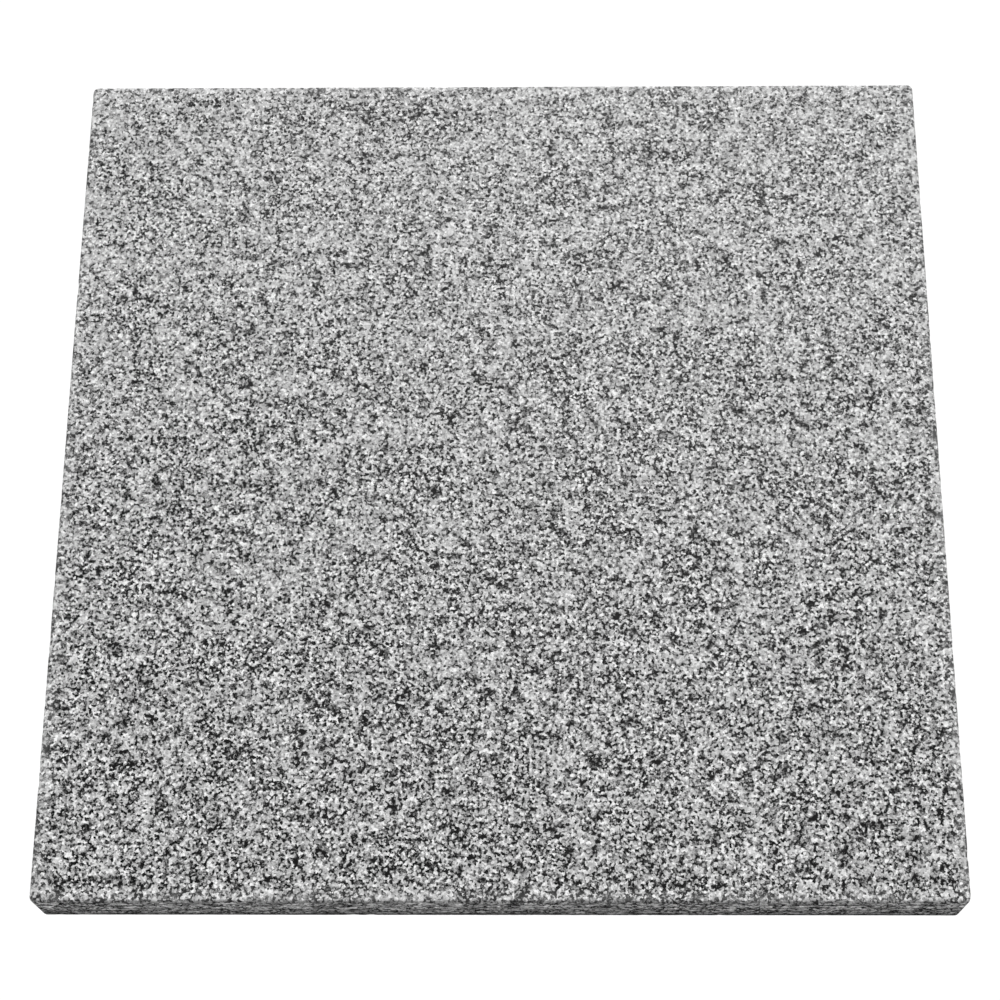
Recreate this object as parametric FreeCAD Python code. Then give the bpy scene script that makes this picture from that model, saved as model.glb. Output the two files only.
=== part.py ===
import FreeCAD, Part
import os

# Granite slab: one solid block of sawn natural stone, used as a hard, heavy, flat base under
# leather while it is stamped, punched, riveted or pared. It has no feet, backing or fasteners.
# Frame: +Z up, origin at the centre of the face it rests on. Units are millimetres.

# Driving dimensions
SLAB_WIDTH = 300.0        # along X
SLAB_DEPTH = 300.0        # along Y
SLAB_THICKNESS = 22.0     # along Z
CORNER_RADIUS = 2.0       # rounding of the four upright corners
TOP_ARRIS_RADIUS = 1.2    # eased edge around the working face
BOTTOM_ARRIS = 1.0        # small 45 degree bevel around the resting face

TOLERANCE = 1e-6


def sawn_block():
    """The block as it leaves the saw, with sharp edges, standing on Z = 0."""
    corner = FreeCAD.Vector(-SLAB_WIDTH / 2, -SLAB_DEPTH / 2, 0)
    return Part.makeBox(SLAB_WIDTH, SLAB_DEPTH, SLAB_THICKNESS, corner)


def upright_edges(solid):
    """The four edges that run the whole thickness of the block."""
    return [edge for edge in solid.Edges if edge.BoundBox.ZLength > SLAB_THICKNESS - TOLERANCE]


def edges_at_height(solid, height):
    """Every edge that lies in the horizontal plane at this height."""
    edges = []
    for edge in solid.Edges:
        box = edge.BoundBox
        if abs(box.ZMin - height) < TOLERANCE and abs(box.ZMax - height) < TOLERANCE:
            edges.append(edge)
    return edges


def granite_slab():
    """The finished slab: corners rounded, working face's edge eased, resting face's edge bevelled."""
    slab = sawn_block()
    slab = slab.makeFillet(CORNER_RADIUS, upright_edges(slab))
    slab = slab.makeFillet(TOP_ARRIS_RADIUS, edges_at_height(slab, SLAB_THICKNESS))
    slab = slab.makeChamfer(BOTTOM_ARRIS, edges_at_height(slab, 0.0))
    return slab


def export(shape, node):
    """Check that the node is one sound solid, then write it as parts/NODE.step."""
    if not shape.isValid() or len(shape.Solids) != 1:
        raise ValueError(f"{node} is not one valid solid")
    shape.Solids[0].exportStep(f"parts/{node}.step")


os.makedirs("parts", exist_ok=True)
export(granite_slab(), "granite_slab")
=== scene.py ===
import math

import bmesh
import bpy
from mathutils import Matrix, Vector, noise


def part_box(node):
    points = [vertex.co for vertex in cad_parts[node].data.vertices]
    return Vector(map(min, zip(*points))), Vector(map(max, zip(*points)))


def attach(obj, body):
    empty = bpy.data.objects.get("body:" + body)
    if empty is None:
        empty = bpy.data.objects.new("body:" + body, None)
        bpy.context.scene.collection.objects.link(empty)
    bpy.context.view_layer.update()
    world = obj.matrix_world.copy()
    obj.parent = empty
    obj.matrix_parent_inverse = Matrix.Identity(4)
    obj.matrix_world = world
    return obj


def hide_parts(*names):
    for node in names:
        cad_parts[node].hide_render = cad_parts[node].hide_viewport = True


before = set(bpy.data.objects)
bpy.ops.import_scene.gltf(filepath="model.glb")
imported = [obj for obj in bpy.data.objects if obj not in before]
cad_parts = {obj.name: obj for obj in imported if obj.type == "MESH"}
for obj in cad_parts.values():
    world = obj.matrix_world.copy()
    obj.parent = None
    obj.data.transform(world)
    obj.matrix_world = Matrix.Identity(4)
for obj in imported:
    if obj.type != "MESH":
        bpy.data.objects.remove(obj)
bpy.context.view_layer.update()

# Granite slab: one block of stone, worked flat on top, sawn on its sides and underside. The CAD
# solid gives its size and place; this script models its worked surface and its mineral grain.
MM = 0.001

# ---------------------------------------------------------------- shape of the slab
SLAB_LOW, SLAB_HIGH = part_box("granite_slab")
SLAB_TOP = SLAB_HIGH[2]
SLAB_FOOT = SLAB_LOW[2]
CENTRE_X = (SLAB_LOW[0] + SLAB_HIGH[0]) / 2
CENTRE_Y = (SLAB_LOW[1] + SLAB_HIGH[1]) / 2
HALF_WIDTH = (SLAB_HIGH[0] - SLAB_LOW[0]) / 2
HALF_DEPTH = (SLAB_HIGH[1] - SLAB_LOW[1]) / 2

CORNER_RADIUS = 2.0 * MM        # upright corners
TOP_ARRIS_RADIUS = 1.2 * MM     # eased edge of the working face
BOTTOM_ARRIS = 1.0 * MM         # bevel around the resting face

CORNER_STEPS = 3                # mesh steps in half of a rounded corner
FACE_STEPS = 236                # mesh steps along the straight part of an edge
ARRIS_STEPS = 6                 # mesh steps round the eased edge
SIDE_STEPS = 15                 # mesh steps down the side
UNDERSIDE_STEPS = 59            # coarser steps of the underside: a quarter of FACE_STEPS
UNDERSIDE_MARGIN = 3.0 * MM     # width of the strip that joins the fine and the coarse mesh

SIDE_TOP = SLAB_TOP - TOP_ARRIS_RADIUS
SIDE_FOOT = SLAB_FOOT + BOTTOM_ARRIS
GRID = FACE_STEPS + 2 * CORNER_STEPS


def along(index, half):
    """Where a mesh line crosses an axis: its straight coordinate and its share of a corner, 0 to 1."""
    straight = half - CORNER_RADIUS
    if index < CORNER_STEPS:
        return -straight, (CORNER_STEPS - index) / CORNER_STEPS
    if index > GRID - CORNER_STEPS:
        return straight, (index - GRID + CORNER_STEPS) / CORNER_STEPS
    return -straight + 2 * straight * (index - CORNER_STEPS) / FACE_STEPS, 0.0


def place(column, row, radius):
    """Plan position of a mesh crossing, when the corners have this radius about fixed centres."""
    x, u = along(column, HALF_WIDTH)
    y, v = along(row, HALF_DEPTH)
    x += math.copysign(radius * u * math.sqrt(1 - v * v / 2), x)
    y += math.copysign(radius * v * math.sqrt(1 - u * u / 2), y)
    return CENTRE_X + x, CENTRE_Y + y


def border():
    """The crossings round the outside of the mesh grid, anticlockwise from above."""
    ring = [(i, 0) for i in range(GRID)]
    ring += [(GRID, i) for i in range(GRID)]
    ring += [(GRID - i, GRID) for i in range(GRID)]
    ring += [(0, GRID - i) for i in range(GRID)]
    return ring


def rings():
    """Inset from the side and height of each ring of vertices below the top face, downwards."""
    found = []
    for step in range(1, ARRIS_STEPS + 1):
        turn = math.radians(90) * step / ARRIS_STEPS
        inset = TOP_ARRIS_RADIUS * (1 - math.sin(turn))
        drop = TOP_ARRIS_RADIUS * (1 - math.cos(turn))
        found.append((inset, SLAB_TOP - drop))
    for step in range(1, SIDE_STEPS + 1):
        found.append((0.0, SIDE_TOP + (SIDE_FOOT - SIDE_TOP) * step / SIDE_STEPS))
    found.append((BOTTOM_ARRIS / 2, SLAB_FOOT + BOTTOM_ARRIS / 2))
    found.append((BOTTOM_ARRIS, SLAB_FOOT))
    return found


def quad(mesh, grid, column, row):
    """One face of a grid of vertices, anticlockwise from above."""
    mesh.faces.new((
        grid[column, row],
        grid[column + 1, row],
        grid[column + 1, row + 1],
        grid[column, row + 1],
    ))


def slab_mesh():
    """The closed slab: a fine grid on top, rings down the sides, and a coarser grid underneath."""
    mesh = bmesh.new()
    top_radius = CORNER_RADIUS - TOP_ARRIS_RADIUS
    top = {}
    for column in range(GRID + 1):
        for row in range(GRID + 1):
            x, y = place(column, row, top_radius)
            top[column, row] = mesh.verts.new((x, y, SLAB_TOP))
    for column in range(GRID):
        for row in range(GRID):
            quad(mesh, top, column, row)
    crossings = border()
    above = [top[crossing] for crossing in crossings]
    for inset, height in rings():
        below = []
        for column, row in crossings:
            x, y = place(column, row, CORNER_RADIUS - inset)
            below.append(mesh.verts.new((x, y, height)))
        for i in range(len(crossings)):
            following = (i + 1) % len(crossings)
            mesh.faces.new((above[i], below[i], below[following], above[following]))
        above = below
    underside(mesh, dict(zip(crossings, above)))
    mesh.normal_update()
    return mesh


def underside(mesh, rim):
    """The resting face: a coarse grid, zipped to the fine rim by fans of triangles."""
    reach_x = HALF_WIDTH - CORNER_RADIUS - UNDERSIDE_MARGIN
    reach_y = HALF_DEPTH - CORNER_RADIUS - UNDERSIDE_MARGIN
    last = UNDERSIDE_STEPS
    under = {}
    for column in range(last + 1):
        for row in range(last + 1):
            x = CENTRE_X + reach_x * (2 * column / last - 1)
            y = CENTRE_Y + reach_y * (2 * row / last - 1)
            under[column, row] = mesh.verts.new((x, y, SLAB_FOOT))
    for column in range(last):
        for row in range(last):
            mesh.faces.new((
                under[column, row],
                under[column, row + 1],
                under[column + 1, row + 1],
                under[column + 1, row],
            ))
    fine = FACE_STEPS // last
    sides = (
        (lambda i: (i, 0), lambda m: (m, 0)),
        (lambda i: (GRID, i), lambda m: (last, m)),
        (lambda i: (GRID - i, GRID), lambda m: (last - m, last)),
        (lambda i: (0, GRID - i), lambda m: (0, last - m)),
    )
    for at_rim, at_grid in sides:
        for m in range(last):
            first = CORNER_STEPS + m * fine
            here, there = under[at_grid(m)], under[at_grid(m + 1)]
            for i in range(fine):
                apex = here if i < fine // 2 else there
                mesh.faces.new((rim[at_rim(first + i + 1)], rim[at_rim(first + i)], apex))
            mesh.faces.new((rim[at_rim(first + fine // 2)], here, there))
        for i in range(CORNER_STEPS):
            mesh.faces.new((rim[at_rim(i + 1)], rim[at_rim(i)], under[at_grid(0)]))
            mesh.faces.new((rim[at_rim(GRID - i)], rim[at_rim(GRID - i - 1)], under[at_grid(last)]))


# ---------------------------------------------------------------- worked surface
TOP_RELIEF = 0.05 * MM          # depth of the fine tooling of the working face
TOP_RELIEF_PITCH = 3.2 * MM
FINE_SHARE = 0.45               # size of the finer tooling and nicks, as a share of the coarser
FINE_OFFSET = Vector((7.0, 3.0, 5.0))
SAW_RELIEF = 0.05 * MM          # depth of the saw's scores on the sides and underside
SAW_PITCH = 2.6 * MM            # from score to score
SAW_DRIFT = 45.0 * MM           # how far a score runs before it wanders
SAW_ROUGHNESS = 1.6 * MM        # size of the roughness between the scores
CHIP_DEPTH = 0.30 * MM          # deepest nick in an arris
CHIP_PITCH = 4.0 * MM
CHIP_REACH = 2.2 * MM           # how far from the arris a nick reaches
CHIP_SHARE = 0.28               # lowest noise value that makes a nick
FOOT_SPARED = 1.2 * MM          # nicks along the foot are as shallow as those this far from the top


def top_relief(point):
    """Depth of the tooling at a point of the working face, 0 to TOP_RELIEF."""
    coarse = noise.noise(point / TOP_RELIEF_PITCH)
    fine = noise.noise(point / (TOP_RELIEF_PITCH * FINE_SHARE) + FINE_OFFSET)
    return TOP_RELIEF * min(max(0.5 + 0.45 * coarse + 0.3 * fine, 0.0), 1.0)


def saw_relief(point, across):
    """Depth of the saw's scores, which run along the face and repeat in the direction across it."""
    scored = point / SAW_DRIFT + across * (point.dot(across) / SAW_PITCH)
    rough = noise.noise(point / SAW_ROUGHNESS)
    return SAW_RELIEF * min(max(0.5 + 0.5 * noise.noise(scored) + 0.2 * rough, 0.0), 1.0)


def chip_depth(point, distance):
    """Depth of the nicks at a point this far from an arris."""
    if distance > CHIP_REACH:
        return 0.0
    rough = noise.noise(point / CHIP_PITCH) + 0.5 * noise.noise(point / (CHIP_PITCH * 0.4))
    nick = max(rough - CHIP_SHARE, 0.0) / (1 - CHIP_SHARE)
    return CHIP_DEPTH * nick * (1 - distance / CHIP_REACH)


def work_surface(mesh):
    """Sinks each vertex along its own normal by the depth of its tooling, scores and nicks."""
    side_score = Vector((0.0, 0.0, 1.0))
    foot_score = Vector((0.0, 1.0, 0.0))
    inner_x = HALF_WIDTH - TOP_ARRIS_RADIUS
    inner_y = HALF_DEPTH - TOP_ARRIS_RADIUS
    sunk = []
    for vert in mesh.verts:
        point, normal = vert.co, vert.normal
        up = max(normal.z, 0.0) ** 2
        down = max(-normal.z, 0.0) ** 2
        side = 1 - up - down
        depth = up * top_relief(point) if up > 0 else 0.0
        if side > 0.001:
            depth += side * saw_relief(point, side_score)
        if down > 0.001:
            depth += down * saw_relief(point, foot_score)
        from_side = min(inner_x - abs(point.x - CENTRE_X), inner_y - abs(point.y - CENTRE_Y))
        if from_side < CHIP_REACH:
            top_edge = math.hypot(max(from_side, 0.0), max(SIDE_TOP - point.z, 0.0))
            foot_edge = math.hypot(max(from_side, 0.0), max(point.z - SIDE_FOOT, 0.0))
            depth += chip_depth(point, min(top_edge, foot_edge + FOOT_SPARED))
        sunk.append(point - normal * depth)
    for vert, spot in zip(mesh.verts, sunk):
        vert.co = spot


# ---------------------------------------------------------------- flat layout
TOP_SHARE = 0.70                # side of the top face in the layout, whose own side is 1
FOOT_SHARE = 0.30               # side of the underside
STRIP_SHARE = 0.075             # width of the strip that holds one side face
LAYOUT_GAP = 0.004              # empty border round each of them
FLAT_ENOUGH = 0.7               # a face whose normal is more upright than this is top or underside


def layout_place(point, normal):
    """Where a point of a face with this normal lies in the layout: top, underside and four strips."""
    across = (point.x - SLAB_LOW[0]) / (2 * HALF_WIDTH)
    back = (point.y - SLAB_LOW[1]) / (2 * HALF_DEPTH)
    rise = (point.z - SLAB_FOOT) / (SLAB_TOP - SLAB_FOOT)
    if normal.z > FLAT_ENOUGH:
        corner = (0.0, 0.0)
        size = (TOP_SHARE, TOP_SHARE)
        spot = (across, back)
    elif normal.z < -FLAT_ENOUGH:
        corner = (TOP_SHARE, TOP_SHARE)
        size = (FOOT_SHARE, FOOT_SHARE)
        spot = (1 - across, back)
    else:
        if abs(normal.x) > abs(normal.y):
            strip, run = (0, 1 - back) if normal.x > 0 else (1, back)
        else:
            strip, run = (2, across) if normal.y > 0 else (3, 1 - across)
        corner = (TOP_SHARE + strip * STRIP_SHARE, 0.0)
        size = (STRIP_SHARE, TOP_SHARE)
        spot = (rise, run)
    found = []
    for start, extent, share in zip(corner, size, spot):
        share = min(max(share, 0.0), 1.0)
        found.append(start + LAYOUT_GAP + (extent - 2 * LAYOUT_GAP) * share)
    return found


def lay_flat(data):
    """Gives the mesh the layout as the UV map that its surface is baked with."""
    layer = data.uv_layers.new(name="OFBake")
    for polygon in data.polygons:
        for loop in polygon.loop_indices:
            point = data.vertices[data.loops[loop].vertex_index].co
            layer.data[loop].uv = layout_place(point, polygon.normal)


# ---------------------------------------------------------------- node helpers
class Nodes:
    """Short calls to add shader nodes to a material and link them."""

    def __init__(self, tree):
        self.tree = tree

    def add(self, kind, **settings):
        node = self.tree.nodes.new(kind)
        for name, value in settings.items():
            setattr(node, name, value)
        return node

    def put(self, socket, value):
        """Links value if it is a socket, or else stores it in the socket."""
        if isinstance(value, bpy.types.NodeSocket):
            self.tree.links.new(value, socket)
        else:
            socket.default_value = value

    def math(self, operation, a, b=0.0, c=0.0):
        node = self.add("ShaderNodeMath", operation=operation)
        for socket, value in zip(node.inputs, (a, b, c)):
            self.put(socket, value)
        return node.outputs[0]

    def vector(self, operation, a, b=(0.0, 0.0, 0.0), c=(0.0, 0.0, 0.0)):
        node = self.add("ShaderNodeVectorMath", operation=operation)
        for socket, value in zip(node.inputs, (a, b, c)):
            self.put(socket, value)
        return node.outputs[0]

    def scale(self, vector, factor):
        node = self.add("ShaderNodeVectorMath", operation="SCALE")
        self.put(node.inputs[0], vector)
        self.put(node.inputs["Scale"], factor)
        return node.outputs[0]

    def ramp(self, value, low, high, to_low=0.0, to_high=1.0):
        """Straight from to_low at low to to_high at high, and level beyond them."""
        node = self.add("ShaderNodeMapRange", clamp=True)
        for socket, number in zip(node.inputs, (value, low, high, to_low, to_high)):
            self.put(socket, number)
        return node.outputs[0]

    def mix(self, share, a, b):
        node = self.add("ShaderNodeMix", data_type="FLOAT")
        self.put(node.inputs[0], share)
        self.put(node.inputs[2], a)
        self.put(node.inputs[3], b)
        return node.outputs[0]

    def noise(self, vector, size, detail=2.0, roughness=0.5, output="Fac"):
        node = self.add("ShaderNodeTexNoise", noise_dimensions="3D")
        self.put(node.inputs["Vector"], vector)
        self.put(node.inputs["Scale"], 1 / size)
        self.put(node.inputs["Detail"], detail)
        self.put(node.inputs["Roughness"], roughness)
        return node.outputs[output]

    def cells(self, vector, size):
        """Voronoi cells of this size: their colours and the places of their seeds."""
        node = self.add("ShaderNodeTexVoronoi", voronoi_dimensions="3D", feature="F1")
        self.put(node.inputs["Vector"], vector)
        self.put(node.inputs["Scale"], 1 / size)
        return node.outputs["Color"], node.outputs["Position"]

    def axes(self, vector):
        node = self.add("ShaderNodeSeparateXYZ")
        self.put(node.inputs[0], vector)
        return node.outputs

    def split(self, colour):
        node = self.add("ShaderNodeSeparateColor")
        self.put(node.inputs[0], colour)
        return node.outputs


# ---------------------------------------------------------------- granite
# The granite is one solid pattern, and the slab is cut from it. These lengths are millimetres.
SMALL_CRYSTAL = 0.70
LARGE_CRYSTAL = 1.3
BORDER_WANDER = 0.9             # how far a crystal's border is pushed about
FLECK = 1.12                    # size of a fleck of mica
CLEAVAGE = 0.5                  # size of the shading inside a crystal
CLUSTER = 4.4                   # size of the places where mica gathers
PATCH = 16.0                    # size of the paler and darker patches of the face
PIT = 0.8                       # size of the pits of the surface
RIM_HIGHLIGHT_PATCH = 7.0                       # size of the patches along which the painted rim highlight varies
RIM_INNER = -5.0                # the painted highlight on the working face's rim starts here and is whole at the second line, both measured outwards from the side
RIM_OUTER = -1.0                # second line, both measured outwards from the side
FOOT_SHADE_WAVE_LENGTH = 6.0                     # length of the waves in the upper edge of the painted shade along the foot
FOOT_SHADE_WAVE_HEIGHT = 4.0                # height of those waves

NEAR_GRAIN, FAR_GRAIN = 1.125, 0.905    # strength of the grain at the -Y and at the +Y side; the weaker grain at +Y is painted sheen
NEAR_TONE, FAR_TONE = 0.508, 0.549      # mean tone at the same two sides; the paler tone at +Y is painted sheen
DISPLAY_POWER = 2.2             # tones are even steps to the eye, and shaders want light
SCORE_ALONG = 0.10              # waves per millimetre along the saw's scores
SCORE_ACROSS = 0.42             # and across them


def centred(n, value):
    """A value that runs from 0 to 1, moved to run evenly about 0."""
    return n.math("SUBTRACT", value, 0.5)


def shifted(n, vector, *offset):
    """The same vector moved far off, so that two noises read there have nothing in common."""
    return n.vector("ADD", vector, offset)


def crystal_borders(n, at):
    """A point pushed about before its crystal is looked up, which makes borders irregular."""
    push = n.vector("SUBTRACT", n.noise(at, BORDER_WANDER, 1.0, 0.5, "Color"), (0.5, 0.5, 0.5))
    return n.vector("MULTIPLY_ADD", push, (BORDER_WANDER, BORDER_WANDER, BORDER_WANDER), at)


def mineral_tone(n, at, own, seed, large):
    """Tone of the stone at a point. Mica, the darkest, gathers in flecks, chains and clusters. Toward +Y
    the tone is paler and the grain weaker: painted sheen.
    """
    fleck = centred(n, n.noise(shifted(n, seed, 5.0, 80.0, 33.0), FLECK, 1.0))
    cleavage = centred(n, n.noise(shifted(n, at, 12.0, 44.0, 8.0), CLEAVAGE, 0.0))
    gathering = n.noise(shifted(n, at, 90.0, 40.0, 70.0), CLUSTER, 1.0)
    dark_cluster = n.ramp(gathering, 0.20, 0.50, -0.18, 0.0)
    pale_cluster = n.ramp(gathering, 0.50, 0.80, 0.0, 0.095)
    patch = n.noise(shifted(n, at, 20.0, 30.0, 60.0), PATCH, 1.0)
    far_share = n.ramp(n.axes(at)["Y"], -HALF_DEPTH / MM, HALF_DEPTH / MM)

    tone = n.math("MULTIPLY", fleck, 1.25)
    tone = n.math("MULTIPLY_ADD", centred(n, own[0]), 0.22, tone)
    tone = n.math("MULTIPLY_ADD", centred(n, large[0]), 0.12, tone)
    tone = n.math("MULTIPLY_ADD", cleavage, 0.20, tone)
    tone = n.math("MULTIPLY", tone, n.ramp(patch, 0.25, 0.75, 0.78, 1.24))
    tone = n.math("ADD", tone, n.math("ADD", dark_cluster, pale_cluster))
    # Painted sheen: the grain is made weaker toward +Y.
    tone = n.math("MULTIPLY", tone, n.mix(far_share, NEAR_GRAIN, FAR_GRAIN))
    tone = n.math("MULTIPLY_ADD", centred(n, patch), -0.15, tone)
    # Painted sheen: the mean tone is made paler toward +Y.
    return n.math("ADD", tone, n.mix(far_share, NEAR_TONE, FAR_TONE))


def mineral_light(n, tone):
    """Black mica, then grey quartz, then pale feldspar with a few white glints."""
    mica_to_quartz = n.ramp(tone, 0.29, 0.52, 0.0, 0.595)
    quartz_to_feldspar = n.ramp(tone, 0.52, 0.68, 0.0, 0.18)
    glints = n.ramp(tone, 0.68, 0.86, 0.0, 0.135)
    shown = n.math("ADD", n.math("ADD", mica_to_quartz, quartz_to_feldspar), glints)
    return n.math("POWER", shown, DISPLAY_POWER)


def sawn_streaks_and_foot_shade(n, at, upward):
    """Share of its light that a sawn face keeps: its scores hold dirt, and the sides' foot is darkened
    with painted shade.
    """
    on_side = n.ramp(upward, -0.7, -0.3)
    stretch = n.add("ShaderNodeCombineXYZ")
    sideways = n.mix(on_side, SCORE_ACROSS, SCORE_ALONG)
    for socket, waves in zip(stretch.inputs, (SCORE_ALONG, sideways, SCORE_ACROSS)):
        n.put(socket, waves)
    scores = n.noise(n.vector("MULTIPLY", at, stretch.outputs[0]), 1.0, 2.0)
    scored = n.ramp(scores, 0.34, 0.62, 0.30, 1.36)
    # Painted shade: the foot of each side is darkened, up to a wavy line.
    waves = centred(n, n.noise(at, FOOT_SHADE_WAVE_LENGTH, 2.0))
    height = n.math("MULTIPLY_ADD", waves, FOOT_SHADE_WAVE_HEIGHT, n.axes(at)["Z"])
    painted_foot_shade = n.ramp(height, 2.5, 5.5, 0.32, 1.0)
    faint_foot_shade_band = n.ramp(height, 8.0, 13.0, 0.72, 1.0)
    # On the sides this is the painted foot shade; the underside is kept at 0.7 all over.
    foot_shade_and_dim_underside = n.mix(on_side, 0.7, n.math("MULTIPLY", painted_foot_shade, faint_foot_shade_band))
    return n.math("MULTIPLY", scored, foot_shade_and_dim_underside)


def painted_rim_highlight_share(n, at, upward):
    """Share of painted highlight on the working face's rim and eased edge, uneven along them, 0 to 1."""
    place_at = n.axes(at)
    past_x = n.math("SUBTRACT", n.math("ABSOLUTE", place_at["X"]), HALF_WIDTH / MM)
    past_y = n.math("SUBTRACT", n.math("ABSOLUTE", place_at["Y"]), HALF_DEPTH / MM)
    rim = n.ramp(n.math("MAXIMUM", past_x, past_y), RIM_INNER, RIM_OUTER, 0.0, 0.55)
    eased_edge = n.ramp(upward, 0.98, 0.90, 0.0, 0.55)
    share = n.math("MULTIPLY", n.math("MAXIMUM", rim, eased_edge), n.ramp(upward, 0.05, 0.40))
    return n.math("MULTIPLY", share, n.ramp(n.noise(at, RIM_HIGHLIGHT_PATCH, 2.0), 0.35, 0.65, 0.3, 1.0))


def granite():
    """Salt-and-pepper granite, whose grain runs on over every edge."""
    material = bpy.data.materials.new("granite")
    material.use_nodes = True
    tree = material.node_tree
    tree.nodes.clear()
    n = Nodes(tree)
    coordinates = n.add("ShaderNodeTexCoord").outputs
    at = n.scale(coordinates["Object"], 1 / MM)
    upward = n.axes(coordinates["Normal"])["Z"]
    crystal_at = crystal_borders(n, at)
    colour, seed = n.cells(crystal_at, SMALL_CRYSTAL)
    own = n.split(colour)
    large = n.split(n.cells(shifted(n, crystal_at, 4.0, 5.0, 6.0), LARGE_CRYSTAL)[0])
    light = mineral_light(n, mineral_tone(n, at, own, seed, large))
    worked = n.ramp(upward, 0.10, 0.50)     # 1 on the tooled face, 0 on the sawn ones
    # Sawn faces: dark streaks along the saw's scores, and painted shade along the foot of the sides.
    light = n.math("MULTIPLY", light, n.mix(worked, sawn_streaks_and_foot_shade(n, at, upward), 1.0))
    # Painted highlight: the rim and eased edge of the working face are made paler.
    light = n.mix(painted_rim_highlight_share(n, at, upward), light, n.math("MULTIPLY_ADD", light, 0.75, 0.17))
    grey = n.add("ShaderNodeCombineColor")
    for socket in grey.inputs[:3]:
        n.put(socket, light)

    shader = n.add("ShaderNodeBsdfPrincipled")
    n.put(shader.inputs["Base Color"], grey.outputs[0])
    n.put(shader.inputs["Roughness"], n.mix(worked, 0.80, n.ramp(own[1], 0.0, 1.0, 0.38, 0.56)))
    n.put(shader.inputs["Specular IOR Level"], n.mix(worked, 0.02, 0.10))
    bump = n.add("ShaderNodeBump")
    n.put(bump.inputs["Height"], n.math("MULTIPLY_ADD", own[2], 0.4, n.noise(at, PIT, 3.0, 0.6)))
    n.put(bump.inputs["Strength"], 0.35)
    n.put(bump.inputs["Distance"], 0.1 * MM)
    n.put(shader.inputs["Normal"], bump.outputs[0])
    output = n.add("ShaderNodeOutputMaterial")
    n.put(output.inputs["Surface"], shader.outputs[0])
    return material


# ---------------------------------------------------------------- the slab itself
def make_slab():
    """The stone that stands for the CAD slab."""
    mesh = slab_mesh()
    work_surface(mesh)
    data = bpy.data.meshes.new("granite_slab_stone")
    mesh.to_mesh(data)
    mesh.free()
    for polygon in data.polygons:
        polygon.use_smooth = True
    lay_flat(data)
    slab = bpy.data.objects.new("granite_slab_stone", data)
    bpy.context.collection.objects.link(slab)
    data.materials.append(granite())
    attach(slab, "root")
    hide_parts("granite_slab")


# ---------------------------------------------------------------- floor, light and camera
FLOOR_REACH = 6.0               # metres from the slab to the floor's edge
FLOOR_DROP = 0.1 * MM           # keeps the floor clear of the resting face
FLOOR_PALE = (0.92, 0.92, 0.92, 1.0)
LIGHT_FROM = Vector((0.12, 0.78, 1.0))  # a high light behind the slab and a little to its right
LIGHT_STRENGTH = 4.1
LIGHT_SPREAD = 24.0             # degrees across, which is soft
SKY_LIGHT = 0.12                # light from all round, under a backdrop that looks white
SENSOR_WIDTH = 36.0             # millimetres, as is the lens
LENS_LENGTH = 80.7
CAMERA_PITCH = 68.798           # degrees below the horizon
CAMERA_YAW = 2.188              # degrees, turned to the left
CAMERA_ROLL = -2.126            # degrees, tilted about the line of sight
CAMERA_AT = Vector((10.42, -288.15, 732.45)) * MM


def make_floor():
    """A plain pale floor."""
    mesh = bmesh.new()
    bmesh.ops.create_grid(mesh, x_segments=4, y_segments=4, size=FLOOR_REACH)
    data = bpy.data.meshes.new("floor")
    mesh.to_mesh(data)
    mesh.free()
    floor = bpy.data.objects.new("floor", data)
    floor.location.z = SLAB_FOOT - FLOOR_DROP
    bpy.context.collection.objects.link(floor)
    material = bpy.data.materials.new("floor_paper")
    material.use_nodes = True
    shader = material.node_tree.nodes["Principled BSDF"]
    shader.inputs["Base Color"].default_value = FLOOR_PALE
    shader.inputs["Roughness"].default_value = 0.9
    shader.inputs["Specular IOR Level"].default_value = 0.0
    data.materials.append(material)


def make_light():
    """One soft lamp that casts no shadow, and a little light from all round."""
    lamp = bpy.data.lights.new("studio_light", "SUN")
    lamp.energy = LIGHT_STRENGTH
    lamp.angle = math.radians(LIGHT_SPREAD)
    lamp.use_shadow = False
    light = bpy.data.objects.new("studio_light", lamp)
    light.rotation_euler = LIGHT_FROM.to_track_quat("Z", "Y").to_euler()
    bpy.context.collection.objects.link(light)
    world = bpy.data.worlds.new("studio")
    bpy.context.scene.world = world
    world.use_nodes = True
    n = Nodes(world.node_tree)
    world.node_tree.nodes.clear()
    sky = n.add("ShaderNodeBackground")
    n.put(sky.inputs["Color"], (1.0, 1.0, 1.0, 1.0))
    seen = n.add("ShaderNodeLightPath").outputs["Is Camera Ray"]
    n.put(sky.inputs["Strength"], n.mix(seen, SKY_LIGHT, 1.0))
    n.put(n.add("ShaderNodeOutputWorld").inputs[0], sky.outputs[0])


def make_camera():
    """A camera that looks down on the slab from its -Y side."""
    pitch, yaw, roll = (math.radians(a) for a in (CAMERA_PITCH, CAMERA_YAW, CAMERA_ROLL))
    turn = Matrix.Rotation(yaw, 3, "Z")
    forward = turn @ Vector((0, math.cos(pitch), -math.sin(pitch)))
    level_right = turn @ Vector((1, 0, 0))
    level_up = turn @ Vector((0, math.sin(pitch), math.cos(pitch)))
    right = math.cos(roll) * level_right + math.sin(roll) * level_up
    up = math.cos(roll) * level_up - math.sin(roll) * level_right
    lens = bpy.data.cameras.new("camera")
    lens.sensor_width = SENSOR_WIDTH
    lens.lens = LENS_LENGTH
    camera = bpy.data.objects.new("camera", lens)
    axes = Matrix((right, up, -forward)).transposed()
    camera.matrix_world = Matrix.Translation(CAMERA_AT) @ axes.to_4x4()
    bpy.context.collection.objects.link(camera)
    bpy.context.scene.camera = camera


make_slab()
make_floor()
make_light()
make_camera()
bpy.context.scene.view_settings.view_transform = "Standard"
